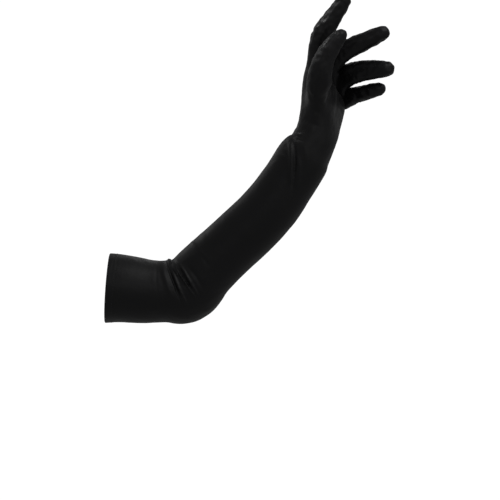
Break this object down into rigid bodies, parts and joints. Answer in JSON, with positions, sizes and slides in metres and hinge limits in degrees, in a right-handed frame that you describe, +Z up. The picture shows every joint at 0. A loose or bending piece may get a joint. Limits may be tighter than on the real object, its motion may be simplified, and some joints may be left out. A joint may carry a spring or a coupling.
{
  "type": "satin opera glove",
  "caption": "Long satin glove reaching over the bent elbow, hollow cloth shell with spread fingers, a set-in thumb and a turned hem at the arm opening.",
  "frame": {"origin": "middle of the arm opening, where the glove ends on the upper arm", "axes": "+X from the arm opening into the sleeve, +Z up, from the elbow to the fingertips, and -Y towards the side that shows the thumb"},
  "size_m": [0.3307, 0.1059, 0.3762],
  "materials": {
    "satin_body": "black stretch satin, soft gloss",
    "satin_thumb": "black stretch satin, soft gloss",
    "satin_hem": "black stretch satin, turned and stitched"
  },
  "bodies": {
    "root": {"glove_body": "satin_body", "thumb": "satin_thumb", "hem": "satin_hem"}
  },
  "joints": []
}
